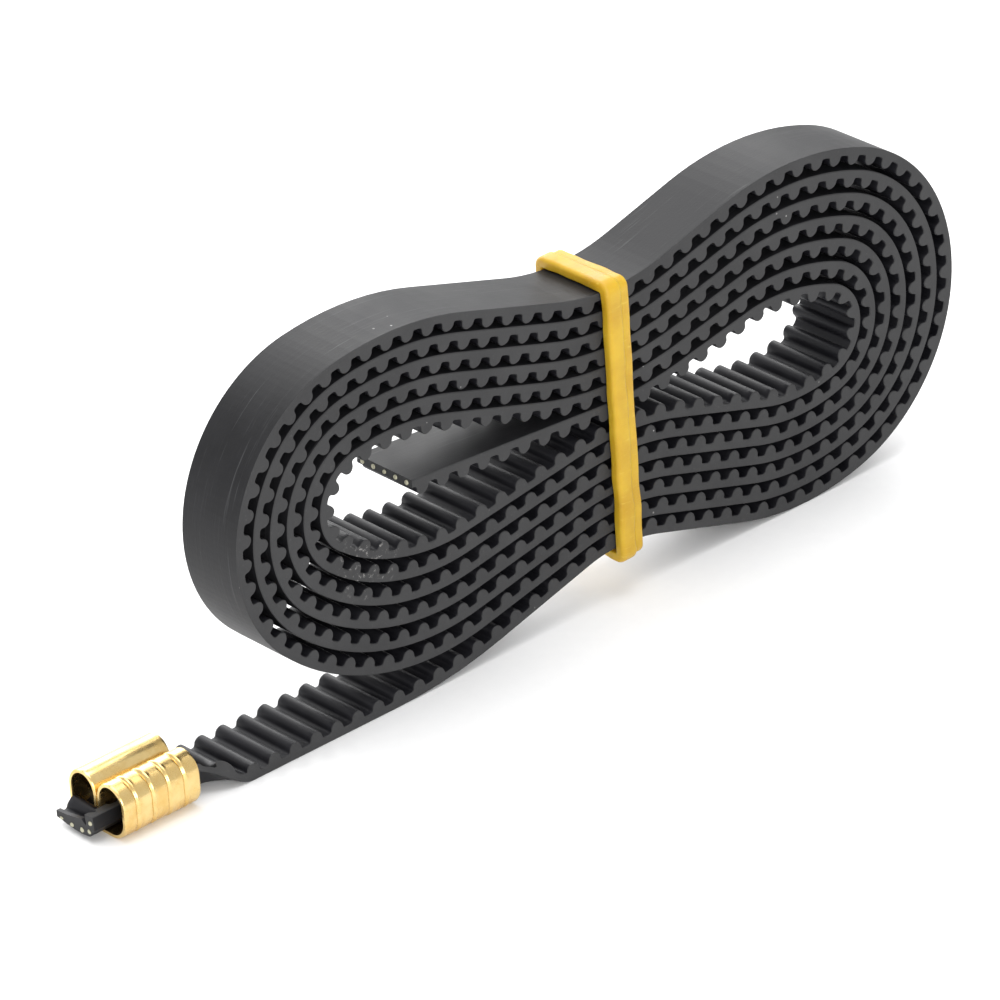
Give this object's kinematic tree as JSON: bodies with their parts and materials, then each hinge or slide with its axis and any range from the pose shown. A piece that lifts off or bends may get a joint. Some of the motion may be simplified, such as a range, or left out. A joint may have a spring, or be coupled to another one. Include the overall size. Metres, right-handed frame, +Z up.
{
  "type": "timing belt",
  "caption": "Open-ended toothed timing belt wound into a waisted coil standing on edge, tied with a rubber band, with a loose tail ending in a brass crimp",
  "frame": {"origin": "on the floor under the middle of the whole length, halfway across the belt's width", "axes": "+X along the coil toward its bigger lobe, Y across the belt's width, +Z up with the coil standing on edge"},
  "size_m": [0.0856, 0.0084, 0.0302],
  "materials": {
    "belt_back": "smooth ground neoprene back, matt black",
    "belt_core": "cut neoprene edge, matt dark grey",
    "belt_teeth": "moulded neoprene teeth, satin black",
    "glass_cord": "pale twisted glass fibre cord",
    "crimp_brass": "polished sheet brass",
    "latex_band": "satin translucent amber latex"
  },
  "bodies": {
    "coil": {"coil_back_skin": "belt_back", "coil_cord_bed": "belt_core", "coil_tension_cords": "glass_cord", "coil_teeth": "belt_teeth"},
    "inner_end": {"inner_end_back_skin": "belt_back", "inner_end_cord_bed": "belt_core", "inner_end_tension_cords": "glass_cord", "inner_end_teeth": "belt_teeth"},
    "tail": {"tail_back_skin": "belt_back", "tail_cord_bed": "belt_core", "tail_tension_cords": "glass_cord", "tail_teeth": "belt_teeth", "crimped_end": "belt_core", "crimped_end_cords": "glass_cord", "crimp_sleeve": "crimp_brass"},
    "band": {"rubber_band": "latex_band"}
  },
  "joints": [
    {"name": "tail_flex", "type": "hinge", "parent": "coil", "child": "tail", "pos_m": [-0.02028, 0, 0.00063], "axis": [0, 1, 0], "range_deg": [0, 25], "stiffness_Nm_per_rad": 0.0008},
    {"name": "inner_end_flex", "type": "hinge", "parent": "coil", "child": "inner_end", "pos_m": [-0.00276, 0, 0.01639], "axis": [0, -1, 0], "range_deg": [0, 10], "stiffness_Nm_per_rad": 0.002},
    {"name": "band_slide", "type": "slide", "parent": "coil", "child": "band", "axis": [0.9974, 0, -0.0715], "range_m": [-0.001, 0.001]}
  ]
}
